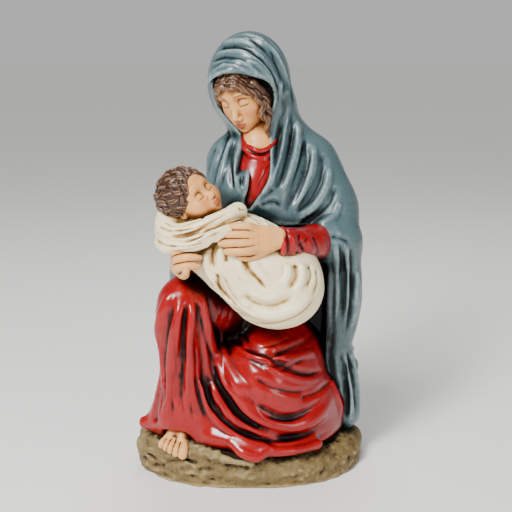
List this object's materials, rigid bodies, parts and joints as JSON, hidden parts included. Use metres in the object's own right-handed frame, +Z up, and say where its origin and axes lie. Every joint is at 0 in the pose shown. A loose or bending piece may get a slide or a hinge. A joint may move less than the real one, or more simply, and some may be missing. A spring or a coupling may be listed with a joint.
{
  "type": "madonna and child statue",
  "caption": "Painted cast statue of a seated, veiled mother who holds a swaddled sleeping infant, on an uneven oval rock base.",
  "frame": {"origin": "middle of the bounding box's underside, where the base rests", "axes": "+Z up along the figure, -Y towards the front, +X to the figure's left hand side"},
  "size_m": [0.2217, 0.2013, 0.4021],
  "materials": {
    "painted_resin": "hand-painted cast resin, antiqued and varnished"
  },
  "bodies": {
    "root": {"madonna_and_child": "painted_resin"}
  },
  "joints": []
}
